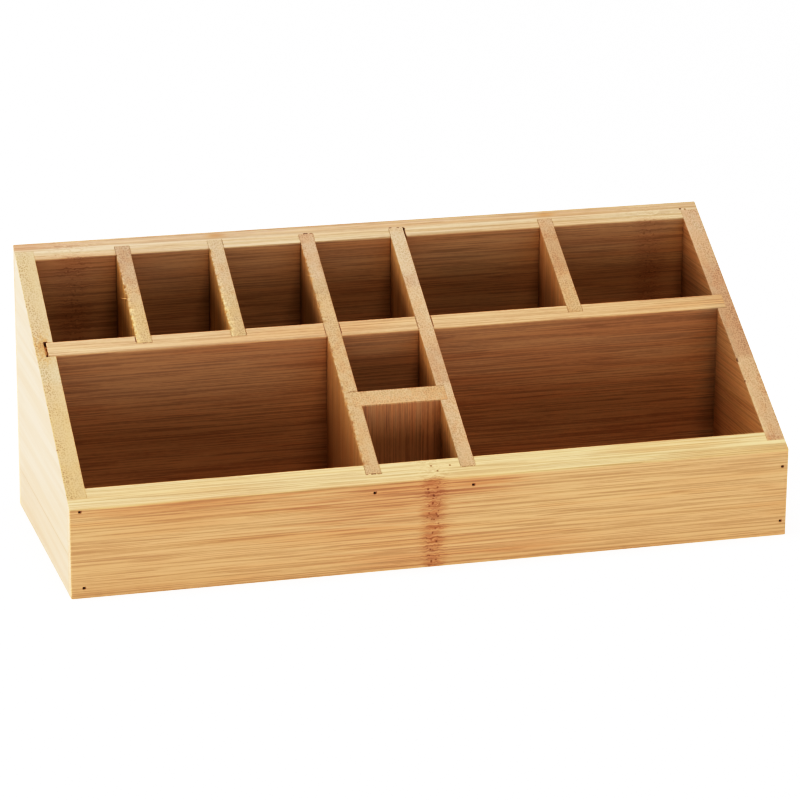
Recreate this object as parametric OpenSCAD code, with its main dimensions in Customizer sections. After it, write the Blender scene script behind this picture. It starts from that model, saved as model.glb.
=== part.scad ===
// Sloped bamboo desk organizer with ten open compartments.
// Every board top lies in one plane that rises from the low front to the high back.
// The boards meet in housings and rebates cut half way through, with glue and brads.
// X runs left to right, Y front to back and Z up; the origin is the middle of the underside.

/* [Outside] */
// Overall width, left to right
overall_w = 380; // [360:1:400]
// Overall depth, front to back
overall_d = 150; // [140:1:170]
// Height of the front face
front_h = 47; // [44:0.5:55]
// Height of the back face
back_h = 143.5; // [125:0.5:160]

/* [Boards] */
// Thickness of the side and back boards
outer_t = 10; // [9:0.5:12]
// Thickness of the front board
front_t = 11; // [10:0.5:12]
// Thickness of every divider
divider_t = 8; // [7:0.5:9]
// Thickness of the base
base_t = 4; // [3:0.5:4.5]
// Height of the glue line between the two boards of each side
side_seam_h = 21.5; // [15:0.5:35]

/* [Compartments] */
// Depth of the back row
back_row_d = 48; // [40:1:55]
// Width of the left cell of the back row
first_cell_w = 43; // [38:1:48]
// Width of the other narrow cells
cell_w = 42; // [38:1:45]
// Width of the wide back cell beside the centre column
wide_cell_w = 76; // [60:1:80]

/* [Joints] */
// Depth of the housings and rebates in the outer boards
housing_d = 5; // [4:0.5:6]
// Depth of the housings in the dividers
divider_housing_d = 4; // [3:0.5:4.5]
// Play on each side of a divider in its housing
play = 0.1; // [0:0.05:0.2]
// Gap behind the left end of the middle divider
end_gap = 1.2; // [0.5:0.1:2]
// Extra width of the roughest housing, beside the right centre divider
rough_gap = 0.6; // [0:0.1:1]

/* [Brads] */
// Diameter of a brad
brad_d = 1.2; // [1:0.1:1.6]
// Length of a brad
brad_l = 25; // [15:1:30]
// Depth of a brad's head below the face
brad_sink = 0.8; // [0.4:0.1:1.5]

/* [Hidden] */

$fn = 24;
over = 1;        // how far a cutter runs past the face it cuts
tall = back_h + over;

// Faces of the outer boards
left = -overall_w / 2;
right = overall_w / 2;
front = -overall_d / 2;
back = overall_d / 2;
left_in = left + outer_t;
right_in = right - outer_t;
front_in = front + front_t;
back_in = back - outer_t;

// Ends of the boards that are let into the outer boards
housed_left = left_in - housing_d;
housed_right = right_in + housing_d;
housed_front = front_in - housing_d;
housed_back = back_in + housing_d;

// Middle planes of the dividers
half_t = divider_t / 2;
middle_y = back_in - back_row_d - half_t;
cross_y = (front_in + middle_y - half_t) / 2;
divider_pitch = cell_w + divider_t;
back_1_x = left_in + first_cell_w + half_t;
back_2_x = back_1_x + divider_pitch;
centre_left_x = back_2_x + divider_pitch;
centre_right_x = centre_left_x + divider_pitch;
back_3_x = centre_right_x + wide_cell_w + divider_t;

// Height where the middle divider and the centre dividers are halved over each other
lap_z = (base_t + front_h + (back_h - front_h) * (middle_y - front) / overall_d) / 2;

// Places of the brads: [x, z] on the front, [x, z] on the back, [x, y] underneath
front_brad_at = [
    [left + 5, front_h - 1.5], [left + 6.5, 5.5],
    [centre_left_x - 1, front_h - 4.5], [centre_right_x + 1, front_h - 4.5],
    [right - 3.5, front_h - 9], [right - 3.5, 8]
];
back_brad_x = [
    left + outer_t / 2, back_1_x, back_2_x, centre_left_x,
    centre_right_x, back_3_x, right - outer_t / 2
];
back_brad_at = [for (x = back_brad_x, z = [25, 115]) [x, z]];
base_edge = housing_d / 2;
base_brad_at = concat(
    [for (x = [-160, -60, 60, 160], y = [housed_front + base_edge, housed_back - base_edge]) [x, y]],
    [[housed_left + base_edge, 0], [housed_right - base_edge, 0]]
);

// A box from its lowest corner to its highest corner
module block(low, high) {
    translate(low) cube(high - low);
}

// Keeps what lies under the sloping top plane
module under_slope() {
    intersection() {
        children();
        translate([left - over, 0, 0]) rotate([90, 0, 90]) linear_extrude(overall_w + 2 * over)
            polygon([[front, 0], [back, 0], [back, back_h], [front, front_h]]);
    }
}

// Slot for a divider that runs front to back, between two y values
module housing_x(x, y0, y1, z0 = -over, extra = 0) {
    block([x - half_t - play, y0, z0], [x + half_t + play + extra, y1, tall]);
}

// Slot for a divider that runs left to right, between two x values
module housing_y(y, x0, x1) {
    block([x0, y - half_t - play, -over], [x1, y + half_t + play, tall]);
}

// The space of the base, which sits in a rebate round the frame
module base_space() {
    block([housed_left, housed_front, -over], [housed_right, housed_back, base_t]);
}

// Brads as driven; a hole is the same shape run out through the face
module front_brads_driven(hole = false) {
    start = hole ? front - over : front + brad_sink;
    for (p = front_brad_at)
        translate([p.x, start, p.y]) rotate([-90, 0, 0])
            cylinder(d = brad_d, h = front + brad_sink + brad_l - start);
}

module back_brads_driven(hole = false) {
    start = hole ? back + over : back - brad_sink;
    for (p = back_brad_at)
        translate([p.x, start, p.y]) rotate([90, 0, 0])
            cylinder(d = brad_d, h = start - back + brad_sink + brad_l);
}

module base_brads_driven(hole = false) {
    start = hole ? -over : brad_sink;
    for (p = base_brad_at)
        translate([p.x, p.y, start]) cylinder(d = brad_d, h = brad_sink + brad_l - start);
}

module brad_holes() {
    front_brads_driven(hole = true);
    back_brads_driven(hole = true);
    base_brads_driven(hole = true);
}

// The front board runs the full width and laps over the front ends of the sides
module front_panel() {
    color("burlywood") difference() {
        under_slope() block([left, front, 0], [right, front_in, tall]);
        for (x = [left - over, right_in])
            block([x, housed_front, -over], [x + outer_t + over, front_in + over, tall]);
        for (x = [centre_left_x, centre_right_x]) housing_x(x, housed_front, front_in + over);
        base_space();
        brad_holes();
    }
}

// The back board is lapped and housed in the same way
module back_panel() {
    color("tan") difference() {
        under_slope() block([left, back_in, 0], [right, back, tall]);
        for (x = [left - over, right_in])
            block([x, back_in - over, -over], [x + outer_t + over, housed_back, tall]);
        for (x = [back_1_x, back_2_x, centre_left_x, back_3_x])
            housing_x(x, back_in - over, housed_back);
        housing_x(centre_right_x, back_in - over, housed_back, extra = rough_gap);
        base_space();
        brad_holes();
    }
}

// One board of a side, between two heights; the side is glued up from two
module side_board(x0, z0, z1) {
    inner_x = x0 < 0 ? housed_left : right_in - over;
    difference() {
        under_slope() block([x0, housed_front, z0], [x0 + outer_t, housed_back, z1]);
        housing_y(middle_y, inner_x, inner_x + housing_d + over);
        base_space();
        brad_holes();
    }
}

module left_side_upper() {
    color("wheat") side_board(left, side_seam_h, tall);
}

module left_side_lower() {
    color("tan") side_board(left, 0, side_seam_h);
}

module right_side_upper() {
    color("wheat") side_board(right_in, side_seam_h, tall);
}

module right_side_lower() {
    color("tan") side_board(right_in, 0, side_seam_h);
}

// Runs the full width behind the front trays, halved from the top at the centre dividers
module middle_divider() {
    color("burlywood") difference() {
        under_slope()
            block([housed_left + end_gap, middle_y - half_t, base_t],
                  [housed_right, middle_y + half_t, tall]);
        for (x = [centre_left_x, centre_right_x])
            housing_x(x, middle_y - half_t - over, middle_y + half_t + over, z0 = lap_z);
        for (x = [back_1_x, back_2_x, back_3_x])
            housing_x(x, middle_y + half_t - divider_housing_d, middle_y + half_t + over);
    }
}

// Runs from front to back, halved from below at the middle divider.
// inward is 1 when the cross divider is on its right and -1 when it is on its left.
module centre_divider(x, inward) {
    near_x = x + inward * (half_t - divider_housing_d);
    far_x = x + inward * (half_t + over);
    difference() {
        under_slope() block([x - half_t, housed_front, base_t], [x + half_t, housed_back, tall]);
        block([x - half_t - over, middle_y - half_t - play, 0],
              [x + half_t + over, middle_y + half_t + play, lap_z]);
        housing_y(cross_y, min(near_x, far_x), max(near_x, far_x));
        brad_holes();
    }
}

module centre_divider_left() {
    color("navajowhite") centre_divider(centre_left_x, 1);
}

module centre_divider_right() {
    color("navajowhite") centre_divider(centre_right_x, -1);
}

// The short board between the centre dividers
module cross_divider() {
    color("burlywood") under_slope()
        block([centre_left_x + half_t - divider_housing_d, cross_y - half_t, base_t],
              [centre_right_x - half_t + divider_housing_d, cross_y + half_t, tall]);
}

// A short divider of the back row, from the middle divider to the back board
module back_divider(x) {
    difference() {
        under_slope()
            block([x - half_t, middle_y + half_t - divider_housing_d, base_t],
                  [x + half_t, housed_back, tall]);
        brad_holes();
    }
}

module back_divider_1() {
    color("wheat") back_divider(back_1_x);
}

module back_divider_2() {
    color("wheat") back_divider(back_2_x);
}

module back_divider_3() {
    color("wheat") back_divider(back_3_x);
}

// The base sits flush in the rebate, and the dividers stand on it
module base_panel() {
    color("tan") difference() {
        block([housed_left, housed_front, 0], [housed_right, housed_back, base_t]);
        brad_holes();
    }
}

module front_brads() {
    color("dimgray") front_brads_driven();
}

module back_brads() {
    color("dimgray") back_brads_driven();
}

module base_brads() {
    color("dimgray") base_brads_driven();
}

front_panel();
back_panel();
left_side_upper();
left_side_lower();
right_side_upper();
right_side_lower();
middle_divider();
centre_divider_left();
centre_divider_right();
cross_divider();
back_divider_1();
back_divider_2();
back_divider_3();
base_panel();
front_brads();
back_brads();
base_brads();
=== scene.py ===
"""Bamboo desk organizer: the looks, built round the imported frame. Lengths are in metres."""
import math
import random

import bmesh
import bpy
from mathutils import Euler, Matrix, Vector, noise


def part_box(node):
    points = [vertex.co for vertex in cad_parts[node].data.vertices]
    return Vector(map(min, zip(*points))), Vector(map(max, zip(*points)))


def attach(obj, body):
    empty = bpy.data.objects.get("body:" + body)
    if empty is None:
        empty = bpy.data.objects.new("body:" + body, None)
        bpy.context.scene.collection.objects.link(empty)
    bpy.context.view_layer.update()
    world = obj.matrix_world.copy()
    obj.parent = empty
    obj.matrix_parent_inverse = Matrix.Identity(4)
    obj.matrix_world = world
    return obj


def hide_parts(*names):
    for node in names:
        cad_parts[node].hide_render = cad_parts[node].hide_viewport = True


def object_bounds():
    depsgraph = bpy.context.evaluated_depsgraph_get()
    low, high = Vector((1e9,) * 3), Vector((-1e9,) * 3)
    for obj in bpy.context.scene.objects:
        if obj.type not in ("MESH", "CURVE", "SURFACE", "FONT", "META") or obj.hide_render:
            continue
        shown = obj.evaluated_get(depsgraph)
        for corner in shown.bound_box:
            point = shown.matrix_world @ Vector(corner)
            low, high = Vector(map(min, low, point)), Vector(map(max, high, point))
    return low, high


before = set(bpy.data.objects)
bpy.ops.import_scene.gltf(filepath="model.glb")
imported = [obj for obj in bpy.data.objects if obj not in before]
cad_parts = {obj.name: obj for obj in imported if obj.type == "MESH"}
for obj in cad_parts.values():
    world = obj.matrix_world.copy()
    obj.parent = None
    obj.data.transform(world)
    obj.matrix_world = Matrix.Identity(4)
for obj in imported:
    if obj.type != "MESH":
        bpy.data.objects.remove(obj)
cad_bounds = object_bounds()
MM = 0.001

# ---------------------------------------------------------------- the frame's own measures

BRAD_NODES = ("front_brads", "back_brads", "base_brads")
BOARD_BOXES = {name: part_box(name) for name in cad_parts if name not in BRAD_NODES}
LOW, HIGH = (Vector(corner) for corner in cad_bounds)
FRONT_IN, FRONT_TOP = BOARD_BOXES["front_panel"][1].yz
SLOPE = (HIGH.z - FRONT_TOP) / (HIGH.y - FRONT_IN)
SLOPE_NORMAL = Vector((0, -SLOPE, 1)).normalized()


def top_z(y):
    """Height of the sloping top plane at a depth."""
    return HIGH.z + SLOPE * (y - HIGH.y)


def inside_another_board(point, node):
    """Whether a point lies in the space of any board but this one."""
    if point.z > top_z(point.y):
        return False
    for other, (low, high) in BOARD_BOXES.items():
        if other != node and all(low[i] < point[i] < high[i] for i in range(3)):
            return True
    return False


def brad_lines():
    """(centre, index of the axis it runs along) of every brad, in the order of the centres."""
    lines = []
    for node in BRAD_NODES:
        bm = bmesh.new()
        bm.from_mesh(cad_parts[node].data)
        bmesh.ops.remove_doubles(bm, verts=bm.verts, dist=1e-6)
        waiting = set(bm.verts)
        while waiting:
            reached = [waiting.pop()]
            for vert in reached:
                near = {edge.other_vert(vert) for edge in vert.link_edges} & waiting
                waiting -= near
                reached.extend(near)
            low = Vector(min(v.co[i] for v in reached) for i in range(3))
            high = Vector(max(v.co[i] for v in reached) for i in range(3))
            lines.append(((low + high) / 2, max(range(3), key=lambda i: high[i] - low[i])))
        bm.free()
    return sorted(lines, key=lambda line: tuple(line[0]))


BRAD_LINES = brad_lines()
BORE_REACH = 0.9 * MM  # a little more than the radius of a brad's hole


def in_a_bore(point):
    """Whether a point is on the wall or rim of a brad's hole."""
    for centre, axis in BRAD_LINES:
        across = point - centre
        across[axis] = 0
        if across.length < BORE_REACH:
            return True
    return False


# ---------------------------------------------------------------- boards

EASED = 0.8 * MM       # width of the rounded outer corners
CRISP = 0.35 * MM      # width of every other open edge
TIGHT = 0.1 * MM       # width of the hairline where two boards meet flush
EDGE_SEGMENTS = 3
TORN_REACH = 1.9 * MM  # how far in from a torn edge the mesh is moved
TORN_STEP = 0.5 * MM   # mean step between the cuts along a torn board
FULL_BITE = 1.1        # the deepest place of a torn edge, in mm


def cut(bm, point, normal):
    """Splits every face that a plane crosses, and removes nothing."""
    geometry = bm.verts[:] + bm.edges[:] + bm.faces[:]
    bmesh.ops.bisect_plane(bm, geom=geometry, plane_co=point, plane_no=normal, dist=1e-6)


def weigh_edges(bm, node):
    """Gives each outer edge its share of the bevel: full at the outer upright corners."""
    weights = bm.edges.layers.float.new("bevel_weight_edge")
    reach = 0.3 * MM
    at_face = 0.1 * MM
    for edge in bm.edges:
        if len(edge.link_faces) != 2 or not edge.is_convex:
            continue
        if edge.calc_face_angle() < math.radians(20):
            continue
        middle = (edge.verts[0].co + edge.verts[1].co) / 2
        if in_a_bore(middle):
            edge.smooth = False
            continue
        first, second = (face.normal for face in edge.link_faces)
        sides = (middle + reach * (first - second), middle + reach * (second - first))
        covered = any(inside_another_board(side, node) for side in sides)
        corner = abs(middle.x) > HIGH.x - at_face and abs(middle.y) > HIGH.y - at_face
        width = TIGHT if covered else EASED if corner else CRISP
        edge[weights] = width / EASED


def board(node, name, long_axis, torn):
    """A board of the frame with eased edges; a torn one is cut into short lengths as well."""
    bm = bmesh.new()
    bm.from_mesh(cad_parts[node].data)
    bmesh.ops.remove_doubles(bm, verts=bm.verts, dist=1e-6)
    flat = math.radians(0.5)
    bmesh.ops.dissolve_limit(bm, angle_limit=flat, verts=bm.verts, edges=bm.edges)
    low, high = BOARD_BOXES[node]
    draw = random.Random(name)
    normal = Vector()
    normal[long_axis] = 1
    # the ends of the open stretches, so that the easing stops where a joint starts
    for other_low, other_high in BOARD_BOXES.values():
        for end in (other_low[long_axis], other_high[long_axis]):
            if low[long_axis] + 2 * MM < end < high[long_axis] - 2 * MM:
                cut(bm, normal * end, normal)
    if torn:
        for depth in (TORN_REACH, 2 * TORN_REACH):
            cut(bm, Vector((low.x + depth, 0, 0)), Vector((1, 0, 0)))
            cut(bm, Vector((0, HIGH.y, HIGH.z)) - SLOPE_NORMAL * depth, SLOPE_NORMAL)
        place = low[long_axis] + TORN_STEP
        while place < high[long_axis]:
            cut(bm, normal * place, normal)
            place += TORN_STEP * draw.uniform(0.6, 1.4)
    weigh_edges(bm, node)
    mesh = bpy.data.meshes.new(name)
    bm.to_mesh(mesh)
    bm.free()
    piece = bpy.data.objects.new(name, mesh)
    bpy.context.scene.collection.objects.link(piece)
    ease = piece.modifiers.new("ease", "BEVEL")
    ease.limit_method = "WEIGHT"
    ease.width = EASED
    ease.segments = EDGE_SEGMENTS
    ease.use_clamp_overlap = False
    bpy.context.view_layer.update()
    depsgraph = bpy.context.evaluated_depsgraph_get()
    done = bpy.data.meshes.new_from_object(piece.evaluated_get(depsgraph))
    piece.modifiers.clear()
    piece.data = done
    bpy.data.meshes.remove(mesh)
    done.name = name
    if torn:
        tear(done, node, draw.uniform(0, 100))
    done.shade_smooth()
    piece.modifiers.new("normals", "WEIGHTED_NORMAL").keep_sharp = True
    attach(piece, "root")
    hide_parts(node)
    return piece


def tear(mesh, node, seed):
    """Breaks the fibres out along the left top edge, where the slope was cut across the grain."""
    left_x = BOARD_BOXES[node][0].x
    for vert in mesh.vertices:
        place = vert.co
        from_left = place.x - left_x
        below = (top_z(place.y) - place.z) * SLOPE_NORMAL.z
        if from_left > TORN_REACH or below > TORN_REACH:
            continue
        beside = Vector((left_x - 0.3 * MM, place.y, top_z(place.y) - 3 * MM))
        if inside_another_board(beside, node):
            continue
        along = place.y / MM
        coarse = noise.noise(Vector((along / 9, seed, 0)))
        fine = noise.noise(Vector((along / 1.1, seed, 5)))
        bite = min(FULL_BITE, max(0.0, 0.25 + 1.2 * coarse + 2.2 * fine)) * MM
        place.x += bite * (1 - from_left / TORN_REACH) ** 0.5
        place.z -= 0.6 * bite * (1 - below / TORN_REACH) ** 0.5


X_AXIS, Y_AXIS = 0, 1
# node: (piece, axis it runs along, material slot)
BOARDS = {
    "front_panel": ("front_board", X_AXIS, "bamboo_front"),
    "back_panel": ("back_board", X_AXIS, "bamboo_back"),
    "left_side_upper": ("left_side_upper_board", Y_AXIS, "bamboo_side"),
    "left_side_lower": ("left_side_lower_board", Y_AXIS, "bamboo_side_lower"),
    "right_side_upper": ("right_side_upper_board", Y_AXIS, "bamboo_side"),
    "right_side_lower": ("right_side_lower_board", Y_AXIS, "bamboo_side_lower"),
    "middle_divider": ("middle_board", X_AXIS, "bamboo_middle"),
    "centre_divider_left": ("centre_board_left", Y_AXIS, "bamboo_divider"),
    "centre_divider_right": ("centre_board_right", Y_AXIS, "bamboo_divider"),
    "cross_divider": ("cross_board", X_AXIS, "bamboo_divider"),
    "back_divider_1": ("back_board_1", Y_AXIS, "bamboo_divider"),
    "back_divider_2": ("back_board_2", Y_AXIS, "bamboo_divider"),
    "back_divider_3": ("back_board_3", Y_AXIS, "bamboo_divider"),
    "base_panel": ("base_board", X_AXIS, "bamboo_base"),
}
TORN_BOARDS = ("centre_divider_left", "back_divider_1", "back_divider_2")
PIECES = {}
for node, (name, long_axis, slot) in BOARDS.items():
    PIECES[node] = board(node, name, long_axis, node in TORN_BOARDS)


def link_piece(name, bm):
    """Makes a small piece of wood of its own from a bmesh."""
    mesh = bpy.data.meshes.new(name)
    bmesh.ops.recalc_face_normals(bm, faces=bm.faces)
    bm.to_mesh(mesh)
    bm.free()
    mesh.shade_smooth()
    piece = bpy.data.objects.new(name, mesh)
    bpy.context.scene.collection.objects.link(piece)
    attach(piece, "root")
    return piece


def sliver(bm, root, turn, length, width, curl):
    """A curled, tapering fibre that stands off a torn edge."""
    rings = []
    steps = 6
    for step in range(steps + 1):
        part = step / steps
        angle = curl * part
        reach = length * part
        centre = root + turn @ Vector((-reach * math.cos(angle), 0, reach * math.sin(angle)))
        half = width * (1 - 0.85 * part) / 2
        corners = ((-0.4, 0), (0, -1), (0.4, 0), (0, 1))
        ring = (centre + turn @ Vector((x * half, y * half, -x * half)) for x, y in corners)
        rings.append([bm.verts.new(corner) for corner in ring])
    for below, above in zip(rings, rings[1:]):
        for i in range(4):
            bm.faces.new((below[i], below[(i + 1) % 4], above[(i + 1) % 4], above[i]))
    bm.faces.new(rings[0])
    bm.faces.new(rings[-1])


def splinters():
    """The few fibres that still hang on the torn edges."""
    bm = bmesh.new()
    draw = random.Random("splinters")
    # (board, place along it, length, width, curl); lengths in mm
    places = (("back_divider_1", 41.0, 3.4, 1.2, 0.2), ("back_divider_1", 24.0, 1.8, 0.7, 0.1),
              ("back_divider_2", 33.0, 2.0, 0.7, 0.2), ("centre_divider_left", 47.0, 2.2, 0.7, 0.3),
              ("centre_divider_left", -12.0, 1.8, 0.6, 0.2))
    for node, y, length, width, curl in places:
        low = BOARD_BOXES[node][0]
        root = Vector((low.x + 0.4 * MM, y * MM, top_z(y * MM) - draw.uniform(1.8, 2.4) * MM))
        turn = Euler((draw.uniform(-0.4, 0.4), 0, draw.uniform(-0.4, 0.2))).to_matrix()
        sliver(bm, root, turn, length * MM, width * MM, curl)
    return link_piece("splinters", bm)


def gap_crumbs():
    """Torn wood lying in the gap behind the left end of the middle board."""
    board_low, board_high = BOARD_BOXES["middle_divider"]
    gap = 1.2 * MM
    left = board_low.x - gap
    bm = bmesh.new()
    rows = []
    steps = 22
    draw = random.Random("crumbs")
    for step in range(steps + 1):
        y = board_low.y + 1.0 * MM + (board_high.y - board_low.y - 1.8 * MM) * step / steps
        sink = (0.55 + 0.5 * noise.noise(Vector((y / MM / 1.1, 3, 0)))) * MM
        ends = 0.9 * MM * abs(2 * step / steps - 1) ** 4
        top = top_z(y) - sink - ends
        inner = board_low.x + 0.05 * MM
        row = [(left, top - 6 * MM), (left, top), (left + 0.6 * MM, top - draw.uniform(0.1, 0.5) * MM),
               (inner, top - draw.uniform(0.2, 0.9) * MM), (inner, top - 6 * MM)]
        rows.append([bm.verts.new((x, y, z)) for x, z in row])
    for near, far in zip(rows, rows[1:]):
        for i in range(len(near)):
            k = (i + 1) % len(near)
            bm.faces.new((near[i], near[k], far[k], far[i]))
    bm.faces.new(rows[0])
    bm.faces.new(rows[-1])
    return link_piece("gap_crumbs", bm)


SPLINTERS = splinters()
GAP_CRUMBS = gap_crumbs()

# ---------------------------------------------------------------- materials

# places of the Mix node's sockets, which share their names between its kinds
VALUE_A, VALUE_B, VALUE_RESULT = 2, 3, 0
COLOUR_A, COLOUR_B, COLOUR_RESULT = 6, 7, 2


class Net:
    """Short ways to add and join a material's nodes."""

    def __init__(self, name):
        self.material = bpy.data.materials.new(name)
        self.material.use_nodes = True
        self.tree = self.material.node_tree
        self.tree.nodes.clear()

    def add(self, kind, inputs=None, **settings):
        made = self.tree.nodes.new("ShaderNode" + kind)
        for key, value in settings.items():
            setattr(made, key, value)
        for key, value in (inputs or {}).items():
            self.put(made.inputs[key], value)
        return made

    def finish(self, inputs):
        """Ends the tree in a Principled shader."""
        shader = self.add("BsdfPrincipled", inputs)
        self.add("OutputMaterial", {"Surface": shader.outputs[0]})
        return self.material

    def put(self, socket, value):
        if isinstance(value, bpy.types.NodeSocket):
            self.tree.links.new(value, socket)
        else:
            socket.default_value = value

    def math(self, operation, *values):
        made = self.add("Math", operation=operation)
        for index, value in enumerate(values):
            self.put(made.inputs[index], value)
        return made.outputs[0]

    def vector(self, x, y, z):
        return self.add("CombineXYZ", {"X": x, "Y": y, "Z": z}).outputs[0]

    def scale(self, vector, factor):
        inputs = {0: vector, "Scale": factor}
        return self.add("VectorMath", inputs, operation="SCALE").outputs[0]

    def length(self, vector):
        return self.add("VectorMath", {0: vector}, operation="LENGTH").outputs["Value"]

    def noise(self, vector, detail=2.0, roughness=0.5):
        inputs = {"Vector": vector, "Scale": 1.0, "Detail": detail, "Roughness": roughness}
        return self.add("TexNoise", inputs).outputs["Fac"]

    def spread(self, value, low, high, to_low=0.0, to_high=1.0):
        """A smooth step from one value to another while the input goes from low to high."""
        inputs = {
            "Value": value, "From Min": low, "From Max": high, "To Min": to_low, "To Max": to_high,
        }
        return self.add("MapRange", inputs, interpolation_type="SMOOTHSTEP").outputs[0]

    def mix_value(self, share, first, second):
        """Blends two values; a share above 1 or below 0 runs on past them."""
        made = self.add("Mix", data_type="FLOAT", clamp_factor=False)
        self.put(made.inputs["Factor"], share)
        self.put(made.inputs[VALUE_A], first)
        self.put(made.inputs[VALUE_B], second)
        return made.outputs[VALUE_RESULT]

    def mix(self, share, first, second, blend="MIX"):
        made = self.add("Mix", data_type="RGBA", blend_type=blend)
        self.put(made.inputs["Factor"], share)
        self.put(made.inputs[COLOUR_A], first)
        self.put(made.inputs[COLOUR_B], second)
        return made.outputs[COLOUR_RESULT]


def rgb(red, green, blue):
    return (red, green, blue, 1.0)


# the two colours of the grain; every other colour of the wood is a tint that multiplies them
PALE = rgb(0.76, 0.52, 0.30)
STREAK = rgb(0.58, 0.37, 0.205)
WHITE = rgb(1, 1, 1)
WARM = rgb(0.93, 0.80, 0.72)      # the reddish areas
FIBRE = rgb(0.60, 0.53, 0.46)     # the fibre bundles
NODE = rgb(0.76, 0.59, 0.50)      # the band across a node
NODE_DOT = rgb(0.58, 0.42, 0.32)  # the dots in that band
INNER_SHADE = rgb(0.775, 0.70, 0.64)     # painted shade: the plain tint of the inner faces, darker and redder than the outer ones
BUNDLE_STEP = 1.15                # distance between the fibre bundles, in mm


class Bamboo:
    """Laminated bamboo. axes names the board's own axes: along the grain, across it, and its thickness.

    Lengths and places are in mm.
    inside: which way along the thickness the compartments lie from middle; 0 is both ways.
    outer, inner, top: tints of the outer faces, the inner faces and the sloping top; the darker inner
    tints are painted shade.
    plies: (place through the thickness, tint), on the top only.
    strips: (place across the grain, tint), on the top only unless the grain runs along X.
    nodes: (place along the grain, half width, strength, places through the thickness where it fades in).
    glows: (centre, radii, tint, strength): stains, painted light and painted shade. marks: (centre, half
    size, tint, raggedness).
    dots: strength of the fibre bundles on the top. dense: places through the thickness where their
    strength changes, and its two values.
    warm: strength of the reddish areas. contrast, inner_contrast: strength of the grain, and how many
    times that it has on inner faces. fleck: strength of the short flecks. line: strength of the dark
    lines, and how much they are drawn out.
    """

    def __init__(self, name, axes, seed, inside=0, middle=0, outer=WHITE, inner=INNER_SHADE, top=WHITE,
                 plies=(), strips=(), nodes=(), glows=(), marks=(), dots=1.0, dense=None, warm=0.5,
                 contrast=1.0, inner_contrast=0.85, fleck=0.7, line=1.0):
        self.net = net = Net(name)
        self.places = net.add("TexCoord").outputs["Object"]
        self.seed = seed
        # the slope cuts the sides' bundles at an angle, which would draw the dots out
        self.bundle_step = 0.75 if axes == "YZX" else BUNDLE_STEP
        parts = net.add("SeparateXYZ", {0: self.places}).outputs
        self.along, across, self.deep = (net.math("MULTIPLY", parts[axis], 1000) for axis in axes)
        self.across = self.bent(across, nodes)
        # 1 on the sloping top, 0 on the faces
        slope = net.math("MULTIPLY_ADD", parts["Y"], SLOPE, HIGH.z - SLOPE * HIGH.y)
        on_top = net.spread(net.math("SUBTRACT", parts["Z"], slope), -1.0 * MM, -0.4 * MM)
        end_grain = net.math("MULTIPLY", on_top, 0.0 if axes[0] == "X" else 0.75)

        if inside:
            towards = net.math("MULTIPLY", net.math("SUBTRACT", self.deep, middle), inside)
            indoors = net.spread(towards, -0.5, 0.5)
        else:
            indoors = 1.0
        hair = net.spread(self.grain(0.55, 80, 2, 0.6), 0.36, 0.64)
        fine = net.spread(self.grain(1.1, 90, 2, 0.55), 0.36, 0.64)
        broad = self.grain(4.5, 140, 1, 0.5)
        slow = self.grain(17, 110, 1, 0.5)
        lines = net.spread(self.grain(0.7, 40 * line, 2, 0.5), 0.57, 0.65)
        flecks = self.grain(0.7, 3.5, 1, 0.5)
        share = net.math("MULTIPLY_ADD", broad, 0.40, -0.15 - fleck / 2)
        share = net.math("MULTIPLY_ADD", fine, 0.45, share)
        share = net.math("MULTIPLY_ADD", hair, 0.85, share)
        share = net.math("MULTIPLY_ADD", flecks, fleck, share)
        share = net.math("SUBTRACT", share, net.math("MULTIPLY", lines, line))
        share = net.mix_value(net.mix_value(indoors, contrast, contrast * inner_contrast), 0.5, share)
        calm = net.math("MULTIPLY_ADD", broad, 0.4, 0.4)
        share = net.mix_value(end_grain, share, calm)
        colour = net.mix(net.math("MINIMUM", net.math("MAXIMUM", share, -0.7), 1.4), STREAK, PALE)
        hue = net.math("MULTIPLY", net.spread(net.math("ADD", slow, broad), 0.9, 1.25), warm)
        colour = net.mix(hue, colour, self.times(colour, WARM))
        bundle = net.math("MULTIPLY", self.bundles(dense), net.mix_value(on_top, 0.1, dots))
        colour = net.mix(bundle, colour, self.times(colour, FIBRE))

        face = net.mix(indoors, outer, inner)
        if plies:
            top = self.times(self.ply_tints(plies), top)
        if strips:
            strip = self.tints(self.across, strips)
            colour = self.times(colour, strip if axes[0] == "X" else net.mix(on_top, WHITE, strip))
        colour = self.times(colour, net.mix(on_top, face, top))
        for node in nodes:
            colour = self.node_band(colour, *node)
        for glow in glows:
            colour = self.glow(colour, *glow)
        for mark in marks:
            colour = self.mark(colour, *mark)
        height = net.math("SUBTRACT", net.math("MULTIPLY", fine, 0.6), net.math("MULTIPLY", bundle, 0.5))
        bump = net.add("Bump", {"Height": height, "Strength": 0.3, "Distance": 0.06 * MM})
        rough = net.spread(broad, 0.3, 0.7, 0.40, 0.52)
        self.material = net.finish({
            "Base Color": colour, "Roughness": rough, "Normal": bump.outputs[0],
            "Coat Weight": 0.25, "Coat Roughness": 0.35,
        })

    def times(self, first, second):
        return self.net.mix(1.0, first, second, "MULTIPLY")

    def grain(self, width, length, detail, roughness):
        """Noise drawn out along the grain; width and length in mm."""
        net = self.net
        at = net.vector(
            net.math("MULTIPLY_ADD", self.across, 1 / width, self.seed),
            net.math("MULTIPLY", self.deep, 1 / width),
            net.math("MULTIPLY_ADD", self.along, 1 / length, self.seed),
        )
        return net.noise(at, detail, roughness)

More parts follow.
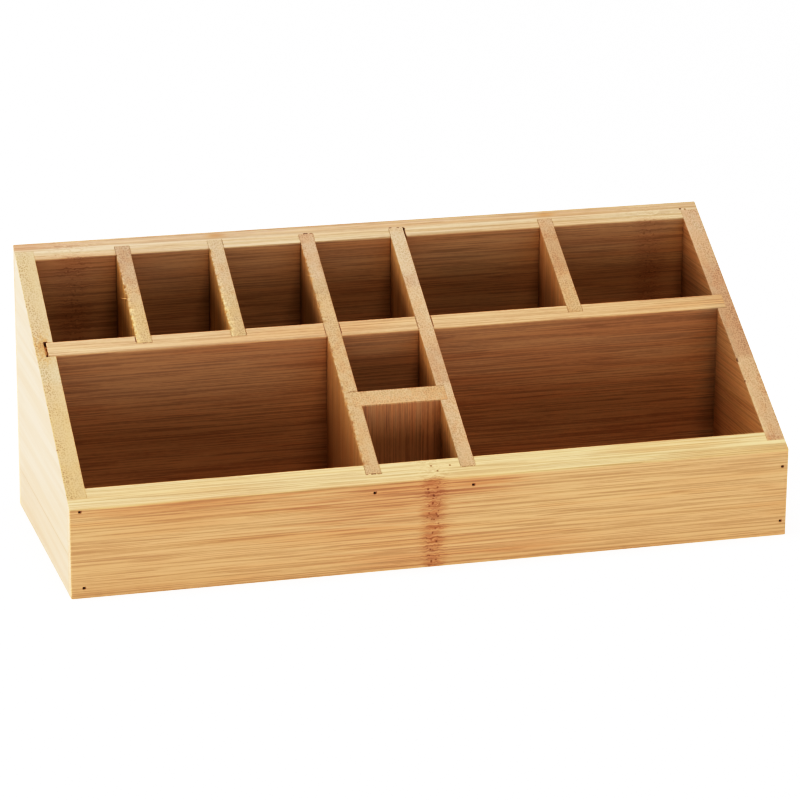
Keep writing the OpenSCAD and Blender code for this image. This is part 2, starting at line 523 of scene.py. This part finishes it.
    def bent(self, across, nodes):
        """The place across the grain, pushed about where the fibres cross a node."""
        net = self.net
        for place, half_width, *_ in nodes:
            off = net.math("SUBTRACT", self.along, place)
            square = net.math("MULTIPLY", off, off)
            near = net.math("EXPONENT", net.math("MULTIPLY", square, -1 / half_width ** 2))
            at = net.vector(net.math("MULTIPLY", across, 0.4), self.deep, net.math("MULTIPLY", off, 0.3))
            push = net.math("SUBTRACT", net.noise(at, 2), 0.5)
            across = net.math("MULTIPLY_ADD", net.math("MULTIPLY", push, near), 3.0, across)
        return across

    def bundles(self, dense):
        """Fibre bundles: dots on end grain and hairlines along the faces."""
        net = self.net
        at = net.vector(
            net.math("MULTIPLY_ADD", self.across, 1 / self.bundle_step, self.seed),
            net.math("MULTIPLY", self.deep, 1 / BUNDLE_STEP),
            0.0,
        )
        inputs = {"Vector": at, "Scale": 1.0, "Randomness": 0.75}
        cells = net.add("TexVoronoi", inputs, voronoi_dimensions="2D")
        dot = net.spread(cells.outputs["Distance"], 0.48, 0.12)
        varied = net.math("MULTIPLY", dot, net.spread(self.grain(5, 60, 2, 0.5), 0.35, 0.65, 0.45, 1.0))
        if dense:
            varied = net.math("MULTIPLY", varied, net.spread(self.deep, *dense))
        return varied

    def ply_tints(self, plies):
        """Colours across the thickness; each ply starts at a place in mm."""
        net = self.net
        wavy = net.math("MULTIPLY_ADD", self.grain(5, 140, 2, 0.5), 0.7, self.deep)
        return self.tints(net.math("SUBTRACT", wavy, 0.35), plies)

    def tints(self, place, steps):
        """The tints of a row of places, blended from each to the next."""
        net = self.net
        low, high = steps[0][0], steps[-1][0]
        where = net.math("DIVIDE", net.math("SUBTRACT", place, low), high - low)
        ramp = net.add("ValToRGB", {"Fac": where})
        stops = ramp.color_ramp.elements
        while len(stops) < len(steps):
            stops.new(1.0)
        for stop, (start, colour) in zip(stops, steps):
            stop.position = (start - low) / (high - low)
            stop.color = colour
        return ramp.outputs["Color"]

    def node_band(self, colour, place, half_width, strength, reach):
        """A bamboo node: a reddish band across the grain with dark dots along its middle."""
        net = self.net
        wander = net.noise(net.vector(net.math("MULTIPLY", self.across, 0.16), self.deep, self.seed), 3)
        off = net.math("SUBTRACT", self.along, net.math("MULTIPLY_ADD", wander, 5.0, place - 2.5))
        far = net.math("ABSOLUTE", off)
        strength = net.math("MULTIPLY", net.spread(self.deep, *reach), strength)
        ragged = net.math("MULTIPLY_ADD", self.grain(1.0, 22, 2, 0.6), 14.0, far)
        near = net.spread(ragged, half_width + 9.5, half_width * 0.4 + 5.0)
        flecks = net.spread(self.grain(0.9, 9, 3, 0.6), 0.36, 0.56, 0.35, 1.0)
        patches = net.spread(self.grain(7, 60, 1, 0.5), 0.35, 0.65, 0.72, 1.1)
        flecks = net.math("MULTIPLY", flecks, patches)
        near = net.math("MULTIPLY", net.math("MULTIPLY", near, flecks), strength)
        colour = net.mix(near, colour, self.times(colour, NODE))
        at = net.vector(
            net.math("MULTIPLY", self.across, 0.45),
            net.math("MULTIPLY", self.deep, 0.3),
            net.math("MULTIPLY", off, 0.45),
        )
        cells = net.add("TexVoronoi", {"Vector": at, "Scale": 1.0, "Randomness": 0.9})
        size = net.noise(net.vector(self.across, self.deep, net.math("MULTIPLY", off, 0.6)), 1)
        dot = net.spread(net.math("MULTIPLY_ADD", size, 0.5, cells.outputs["Distance"]), 0.60, 0.34)
        row = net.math("MULTIPLY", net.spread(far, half_width * 0.65, half_width * 0.3), strength)
        return net.mix(net.math("MULTIPLY", dot, row), colour, self.times(colour, NODE_DOT))

    def scaled_off(self, centre, size):
        """The way from a centre, in shares of a size."""
        net = self.net
        inputs = {0: self.places, 1: [value * MM for value in centre]}
        off = net.add("VectorMath", inputs, operation="SUBTRACT")
        shares = [1 / (value * MM) for value in size]
        return net.add("VectorMath", {0: off.outputs[0], 1: shares}, operation="MULTIPLY").outputs[0]

    def glow(self, colour, centre, radii, tint, strength=1.0):
        """A soft, streaky patch of tint, used for stains and for painted light and shade. Its grain
        makes it fade out at about half of the radii.
        """
        net = self.net
        far = net.length(self.scaled_off(centre, radii))
        near = net.spread(net.math("MULTIPLY_ADD", self.grain(1.1, 45, 2, 0.5), 2.0, far), 2.0, 0.9)
        return net.mix(net.math("MULTIPLY", near, strength), colour, self.times(colour, tint))

    def mark(self, colour, centre, half_size, dark, ragged=0.5):
        """A small dark or stained place with a ragged edge."""
        net = self.net
        parts = net.add("SeparateXYZ", {0: self.scaled_off(centre, half_size)}).outputs
        far = [net.math("ABSOLUTE", part) for part in parts]
        widest = net.math("MAXIMUM", net.math("MAXIMUM", far[0], far[1]), far[2])
        rough = net.noise(net.scale(self.places, 1100.0), 2)
        edge = net.math("MULTIPLY_ADD", rough, 2 * ragged, widest)
        inside = net.spread(edge, 1.0 + ragged, 0.65 + ragged)
        return net.mix(inside, colour, self.times(colour, dark))


GAP = rgb(0.26, 0.17, 0.11)        # the shadow in an open joint
SEAM = rgb(0.45, 0.33, 0.25)       # a thin line of old glue and dust
STAIN = rgb(0.90, 0.72, 0.47)      # the golden wood round a torn place
ORANGE = rgb(0.88, 0.76, 0.71)
PINKISH = rgb(0.93, 0.87, 0.88)
PINK_STRIP = rgb(0.84, 0.78, 0.765)
REDDISH = rgb(0.84, 0.70, 0.66)
PAINTED_TRAY_SHADE = rgb(0.72, 0.78, 0.84)      # painted shade in the corner at each end of a front tray
GLUE_LINE = rgb(0.80, 0.71, 0.58)  # where the two boards of a side are glued together
LEFT_SEAM = ((-190, 0, 21.5), (2, 80, 0.32), GLUE_LINE, 0.3)
RIGHT_SEAM = ((190, 0, 21.5), (2, 80, 0.32), GLUE_LINE, 0.3)

FRONT_LOOKS = {
    "inside": 1, "dots": 0.25, "contrast": 1.5, "fleck": 0.3, "line": 1.5,
    "outer": rgb(1.0, 0.98, 0.93), "top": rgb(1.06, 1.16, 1.10),
    "nodes": [(-3.0, 7.0, 1.0, (-73.0, -74.6))],
    "glows": [
        ((-28, -75, 38), (70, 4, 24), ORANGE),
        ((-14, -75, 6), (60, 4, 10), ORANGE, 0.7),
        ((18, -75, 42), (50, 4, 10), ORANGE),
        ((-140, -75, 45), (90, 4, 5), ORANGE, 0.6),
        ((50, -75, 8), (45, 4, 9), ORANGE, 0.6),
        ((190, -69, 56), (240, 30, 16), rgb(1.06, 1.14, 1.23)),
        ((-160, -75, 20), (160, 20, 60), rgb(0.965, 0.945, 0.935)),
    ],
    "marks": [
        ((-36.4, -69.2, 50.8), (0.9, 0.35, 2), SEAM, 0.9),
        ((-33.2, -69.3, 50.7), (1.5, 0.3, 2), GAP, 0.9),
        ((-29.8, -69.4, 50.6), (1.2, 0.25, 2), SEAM, 0.9),
        ((17, -69.2, 50.7), (3.5, 0.2, 2), SEAM, 0.9),
        ((7.6, -67.9, 51.6), (0.6, 0.5, 2), SEAM, 0.4),
        ((-2.4, -67.5, 51.8), (0.7, 0.5, 2), SEAM, 0.4),
        ((0.3, -70.4, 50.0), (0.6, 0.5, 2), SEAM, 0.4),
        ((-180.4, -66.8, 52.2), (0.3, 2.2, 2), SEAM, 0.6),
    ],
}
BACK_LOOKS = {
    "inside": -1, "dots": 0.25, "contrast": 0.9, "inner_contrast": 1.25,
    # the inner tint is painted shade on the faces inside the compartments
    "inner": rgb(0.73, 0.66, 0.595), "top": rgb(0.94, 1.03, 1.12),
    "plies": [
        (65, rgb(1.0, 1.0, 1.02)), (67.2, rgb(1.0, 1.0, 1.0)), (67.6, rgb(0.93, 0.90, 0.86)),
        (68.0, rgb(1.03, 1.05, 1.08)), (70.6, rgb(1.03, 1.05, 1.1)), (71.4, rgb(0.95, 0.89, 0.88)),
        (75, rgb(0.97, 0.91, 0.90)),
    ],
    "strips": [
        (60, rgb(1.14, 1.10, 1.05)), (95, WHITE), (112, rgb(0.94, 0.93, 0.90)),
        (136.4, rgb(0.90, 0.86, 0.80)), (137.4, WHITE), (150, WHITE),
    ],
    "nodes": [(-160, 11.0, 0.40, (67, 66)), (160, 11.0, 0.40, (67, 66))],
    "glows": [
        ((150, 66, 60), (100, 8, 100), rgb(1.12, 1.12, 1.06)),
        ((-107, 66, 125), (50, 6, 40), rgb(0.92, 0.92, 0.93)),
        ((60, 66, 100), (80, 6, 50), rgb(0.93, 0.96, 0.96)),
        ((110, 72, 142), (280, 30, 12), rgb(1.01, 1.04, 1.07)),
        ((-110, 72, 142), (200, 30, 12), rgb(0.96, 0.945, 0.96)),
        ((-82, 73, 142), (9, 3, 3), STAIN, 0.8),
        ((102, 73, 142), (8, 3, 3), STAIN, 0.7),
        ((-182, 73, 142), (40, 6, 6), PINKISH, 0.8),
    ],
    "marks": [
        ((-33.0, 70.3, 140.3), (1.6, 0.25, 2), GAP, 0.8),
        ((-29.9, 70.2, 140.3), (1.0, 0.2, 2), SEAM, 0.8),
        ((14.2, 70.4, 140.5), (1.2, 0.25, 2), GAP, 0.8),
        ((18.2, 70.3, 140.4), (0.9, 0.25, 2), GAP, 0.7),
        ((21.4, 69.6, 140.2), (0.8, 0.7, 2), GAP, 0.7),
        ((180.0, 70.6, 140.6), (0.7, 0.5, 2), GAP, 0.6),
        ((182.6, 70.3, 140.5), (0.6, 0.4, 2), SEAM, 0.7),
        ((-79.0, 68.3, 139), (0.25, 2.4, 3), SEAM, 0.5),
    ],
}
MIDDLE_LOOKS = {
    "dots": 0.25, "inner_contrast": 1.3,
    # the inner tint is painted shade on the faces inside the compartments
    "inner": rgb(0.765, 0.68, 0.615), "top": rgb(0.97, 0.965, 0.96),
    "strips": [
        (40, rgb(0.93, 0.97, 1.0)), (60, WHITE), (78, WHITE), (92, rgb(0.93, 0.90, 0.87)),
        (100.6, rgb(0.93, 0.90, 0.87)), (101.6, WHITE), (110, WHITE),
    ],
    "glows": [
        # painted shade: the corners at both ends of the front trays, and a wider darkening over the left
        # tray's back wall
        ((182, 9, 60), (18, 6, 120), PAINTED_TRAY_SHADE),
        ((-182, 9, 50), (14, 6, 60), PAINTED_TRAY_SHADE, 0.7),
        ((-110, 9, 75), (160, 8, 60), rgb(0.93, 0.94, 0.95)),
        ((-130, 13, 107), (170, 20, 8), rgb(0.96, 0.94, 0.935)),
    ],
    "marks": [
        ((-137.3, 15.4, 105), (0.45, 1.6, 3), GAP, 0.7),
        ((-132.8, 12.9, 104), (1.4, 0.3, 3), GAP, 0.8),
        ((-129.6, 12.9, 104), (1.0, 0.25, 3), SEAM, 0.8),
        ((-28.8, 13.5, 104), (0.3, 3.8, 4), SEAM, 0.5),
        ((21.3, 13.5, 104), (0.3, 3.6, 4), SEAM, 0.6),
        ((12.8, 13, 104), (0.2, 4, 4), SEAM, 0.6),
        ((-37.2, 13, 104), (0.2, 4, 4), SEAM, 0.6),
    ],
}
LEFT_UPPER_LOOKS = {
    "inside": 1, "dense": (-181, -188, 0.30, 0.90),
    "contrast": 0.12, "inner_contrast": 5, "warm": 0.15,
    # the outer tint is painted sheen: it takes red out of the left outer face, as the light pales it
    "outer": rgb(0.83, 0.91, 1.0), "top": rgb(0.96, 1.04, 1.05),
    "strips": [
        (50, rgb(0.98, 0.95, 0.84)), (78, rgb(0.99, 0.97, 0.89)), (90, WHITE),
        (93, rgb(1, 1.07, 1.15)), (97, rgb(1, 1.07, 1.15)), (100, WHITE),
        (112, rgb(0.98, 1.0, 1.04)), (138, rgb(0.97, 1.01, 1.05)), (140, rgb(0.97, 1.03, 1.12)),
    ],
    "glows": [((-186.5, 14, 104.5), (7.2, 13, 12), STAIN)],
    "marks": [
        ((-184.2, 17.1, 106.2), (1.2, 0.3, 2), GAP, 0.7),
        ((-184.4, 10.2, 101.8), (0.5, 0.8, 2), GAP, 0.7),
        ((-189.9, -42.5, 67.5), (0.8, 0.5, 0.5), SEAM, 0.4),
        LEFT_SEAM,
    ],
}
LEFT_LOWER_LOOKS = {
    "inside": 1, "dense": (-180, -189, 0.45, 1.0), "contrast": 0.12, "warm": 0.15,
    # the outer tint is painted sheen: it takes red out of the left outer face, as the light pales it
    "outer": rgb(0.815, 0.875, 0.945), "marks": [LEFT_SEAM],
}
RIGHT_UPPER_LOOKS = {
    "inside": -1, "dense": (180, 189, 0.40, 0.9), "contrast": 0.2, "inner_contrast": 5,
    "top": rgb(0.96, 1.0, 1.10),
    "strips": [
        (50, rgb(0.97, 0.965, 0.965)), (81, rgb(0.97, 0.965, 0.965)), (83, PINK_STRIP),
        (106, PINK_STRIP), (108, rgb(0.86, 0.83, 0.85)), (117, rgb(0.86, 0.83, 0.85)),
        (120, rgb(0.92, 0.92, 0.94)), (124, rgb(0.97, 1.0, 1.06)), (140, rgb(0.97, 1.03, 1.14)),
    ],
    "glows": [
        # painted light on the lower front of the right side's inner face, and painted shade higher up
        # and further back
        ((180, -40, 40), (3, 70, 42), rgb(1.17, 1.24, 1.18)),
        ((180, 0, 85), (4, 60, 50), rgb(0.92, 0.97, 0.98)),
        ((183, -67, 52), (6, 4, 6), REDDISH, 0.8),
    ],
    "marks": [
        ((180.2, -22.1, 81.0), (0.5, 1.2, 1.0), SEAM, 0.7),
        ((180.2, -34.5, 73.1), (0.3, 0.7, 0.7), SEAM, 0.7),
        RIGHT_SEAM,
    ],
}
RIGHT_LOWER_LOOKS = {
    "inside": -1, "dense": (180, 189, 0.45, 1.0), "contrast": 0.27, "marks": [RIGHT_SEAM],
}
CENTRE_LEFT_LOOKS = {
    "dots": 0.6, "inner": rgb(0.82, 0.77, 0.68), "top": rgb(0.88, 0.90, 0.90),
    "strips": [
        (-60, WHITE), (32, WHITE), (35, rgb(0.90, 0.94, 1.0)), (41, rgb(0.90, 0.94, 1.0)),
        (44, rgb(0.96, 0.99, 1.10)), (70, rgb(0.96, 0.98, 1.14)),
    ],
}
CENTRE_RIGHT_LOOKS = {
    "dots": 0.6, "inner": rgb(0.98, 0.94, 0.82), "top": rgb(0.95, 1.01, 1.12),
    "glows": [((13, -50, 45), (4, 60, 60), rgb(0.88, 0.90, 0.91))],
    "strips": [
        (-70, rgb(0.96, 0.93, 0.88)), (-48, rgb(0.98, 0.95, 0.91)), (-24, rgb(1.0, 1.01, 1.02)),
        (-21, rgb(0.88, 0.83, 0.81)), (-4, rgb(0.88, 0.86, 0.86)), (5, WHITE), (33, WHITE),
        (36, rgb(0.91, 0.92, 0.97)), (41, rgb(0.91, 0.92, 0.97)), (44, rgb(1.0, 1.03, 1.08)),
        (66, rgb(0.98, 1.05, 1.12)),
    ],
}
SHORT_PAINTED_LIGHT = rgb(1.50, 1.52, 1.44)  # painted light: lightens the lower part of a short divider's left face
SHORT_1_LOOKS = {
    "dots": 0.6, "inner": rgb(0.80, 0.77, 0.63), "top": rgb(0.87, 0.87, 0.86),
    # the glow is painted light on the lower part of this divider's left face
    "glows": [((-137, 40, 80), (4, 95, 62), SHORT_PAINTED_LIGHT)],
    "strips": [
        (16, rgb(1.03, 1.06, 1.0)), (28, rgb(1.03, 1.07, 1.01)), (44, rgb(0.96, 0.98, 1.02)),
        (50, rgb(0.88, 0.90, 0.98)), (64, rgb(0.86, 0.90, 1.02)),
    ],
}
SHORT_2_LOOKS = {
    "dots": 0.6, "inner": rgb(0.78, 0.75, 0.64), "top": rgb(0.865, 0.915, 0.945),
    # the glow is painted light on the lower part of this divider's left face
    "glows": [((-87, 40, 80), (4, 95, 62), SHORT_PAINTED_LIGHT)],
    "strips": [
        (16, rgb(1.01, 1.05, 1.02)), (28, rgb(1.01, 1.05, 1.02)), (46, rgb(0.99, 0.99, 1.04)),
        (64, rgb(0.99, 1.03, 1.13)),
    ],
}
SHORT_3_LOOKS = {
    "dots": 0.65, "inner": rgb(0.86, 0.78, 0.69), "top": rgb(0.89, 0.88, 0.90),
    "strips": [
        (16, rgb(1.03, 1.08, 1.06)), (28, rgb(1.01, 1.05, 1.05)), (36, WHITE),
        (40, rgb(0.88, 0.88, 0.88)), (60, rgb(0.90, 0.90, 0.93)), (65, rgb(0.97, 1.02, 1.12)),
    ],
}
CROSS_LOOKS = {
    "dots": 0.65, "inner": rgb(0.78, 0.68, 0.60), "inner_contrast": 1.4, "top": rgb(0.90, 0.93, 0.93),
    "glows": [((-8, -32, 84), (70, 8, 34), rgb(1.06, 0.93, 0.87))],
}
# node: (axes, looks); a board's place in this list seeds its grain
BOARD_LOOKS = {
    "front_panel": ("XZY", FRONT_LOOKS),
    "back_panel": ("XZY", BACK_LOOKS),
    "middle_divider": ("XZY", MIDDLE_LOOKS),
    "base_panel": ("XYZ", {"inside": 1}),
    "left_side_upper": ("YZX", LEFT_UPPER_LOOKS),
    "left_side_lower": ("YZX", LEFT_LOWER_LOOKS),
    "right_side_upper": ("YZX", RIGHT_UPPER_LOOKS),
    "right_side_lower": ("YZX", RIGHT_LOWER_LOOKS),
    "centre_divider_left": ("ZYX", CENTRE_LEFT_LOOKS),
    "centre_divider_right": ("ZYX", CENTRE_RIGHT_LOOKS),
    "back_divider_1": ("ZYX", SHORT_1_LOOKS),
    "back_divider_2": ("ZYX", SHORT_2_LOOKS),
    "back_divider_3": ("ZYX", SHORT_3_LOOKS),
    "cross_divider": ("ZXY", CROSS_LOOKS),
}
# a little old glue and dust round each brad in the front board
for centre, axis in BRAD_LINES:
    if axis == Y_AXIS and centre.y < 0:
        halo = ((centre.x / MM + 0.2, LOW.y / MM, centre.z / MM), (1.0, 1, 0.8), SEAM, 0.35)
        FRONT_LOOKS["marks"].append(halo)
SEED_STEP = 7.3
for number, (node, (axes, looks)) in enumerate(BOARD_LOOKS.items()):
    low, high = (corner["XYZ".index(axes[2])] / MM for corner in BOARD_BOXES[node])
    wood = Bamboo("bamboo_" + node, axes, number * SEED_STEP, middle=(low + high) / 2, **looks)
    PIECES[node].data.materials.clear()
    PIECES[node].data.materials.append(wood.material)
splinter_wood = Bamboo("bamboo_splinters", "XYZ", 3.3, inner=rgb(1.15, 1.18, 1.10))
SPLINTERS.data.materials.append(splinter_wood.material)
GAP_CRUMBS.data.materials.append(PIECES["left_side_upper"].data.materials[0])


def steel():
    """Dull, spotted steel of the brads."""
    net = Net("steel")
    places = net.add("TexCoord").outputs["Object"]
    spots = net.noise(net.scale(places, 2500.0), 3)
    colour = net.mix(spots, rgb(0.045, 0.030, 0.022), rgb(0.11, 0.08, 0.06))
    rough = net.spread(spots, 0.3, 0.7, 0.35, 0.6)
    return net.finish({"Base Color": colour, "Metallic": 0.9, "Roughness": rough})


STEEL = steel()
for node in BRAD_NODES:
    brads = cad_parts[node]
    brads.data.materials.clear()
    brads.data.materials.append(STEEL)

# ---------------------------------------------------------------- camera, light and floor

camera = bpy.data.objects.new("camera", bpy.data.cameras.new("camera"))
camera.location = (-0.4750, -1.6650, 0.6136)
camera.rotation_euler = Euler([math.radians(angle) for angle in (72.451, -0.4385, -15.793)])
camera.data.sensor_width = 36
camera.data.lens = 155.66
bpy.context.scene.collection.objects.link(camera)
bpy.context.scene.camera = camera

LIT_PLACE = Vector((0, 0, 0.05))


def softbox(name, place, size, power):
    """A square area light that faces the organizer."""
    light = bpy.data.lights.new(name, "AREA")
    light.size = size
    light.energy = power
    lamp = bpy.data.objects.new(name, light)
    lamp.location = place
    lamp.rotation_euler = (LIT_PLACE - Vector(place)).to_track_quat("-Z", "Y").to_euler()
    bpy.context.scene.collection.objects.link(lamp)


softbox("top", (0, 0, 2.0), 1.2, 14.0)
softbox("top_front", (0, -1.5, 1.6), 1.2, 10.3)
softbox("top_right", (1.5, 0, 1.6), 1.2, 6.5)
softbox("left", (-2.3, 0, 0.5), 1.0, 18.0)
softbox("back_left", (-1.6, 1.4, 1.0), 1.2, 13.1)
softbox("left_accent", (-1.4, 0.3, 1.8), 0.3, 3.2)

world = bpy.data.worlds.new("world")
world.use_nodes = True
background = world.node_tree.nodes["Background"].inputs
background["Color"].default_value = WHITE
background["Strength"].default_value = 0.02
bpy.context.scene.world = world


def floor():
    """A pale floor, far wider than the view, which gives off a soft light of its own."""
    mesh = bpy.data.meshes.new("floor")
    reach = 20
    corners = [(-reach, -reach, 0), (reach, -reach, 0), (reach, reach, 0), (-reach, reach, 0)]
    mesh.from_pydata(corners, [], [(0, 1, 2, 3)])
    plane = bpy.data.objects.new("floor", mesh)
    plane.location.z = LOW.z - 0.05 * MM
    bpy.context.scene.collection.objects.link(plane)
    net = Net("floor")
    distance = net.length(net.add("TexCoord").outputs["Object"])
    # the softboxes light the floor less further out, so there it gives off more of its own
    glow = net.spread(distance, 0.4, 2.2, 0.42, 0.72)
    mesh.materials.append(net.finish({
        "Base Color": rgb(0.8, 0.8, 0.8), "Roughness": 0.9, "Specular IOR Level": 0.0,
        "Emission Color": WHITE, "Emission Strength": glow,
    }))


floor()

TONE_STEEPNESS = 1.8
TONE_DARKNESS = 0.387  # below 1 the middle tones come out lighter than they went in
TONE_STEPS = 12


def tone():
    """The camera's own contrast: a soft toe and a long shoulder, on top of the plain view transform."""
    view = bpy.context.scene.view_settings
    view.view_transform = "Standard"
    view.use_curve_mapping = True
    curve = view.curve_mapping.curves[3]
    for step in range(1, TONE_STEPS):
        # the power draws the points together at the dark end
        place = (step / TONE_STEPS) ** 1.5
        toe = place ** TONE_STEEPNESS
        shoulder = TONE_DARKNESS * (1 - place) ** TONE_STEEPNESS
        curve.points.new(place, toe / (toe + shoulder))
    view.curve_mapping.update()


tone()
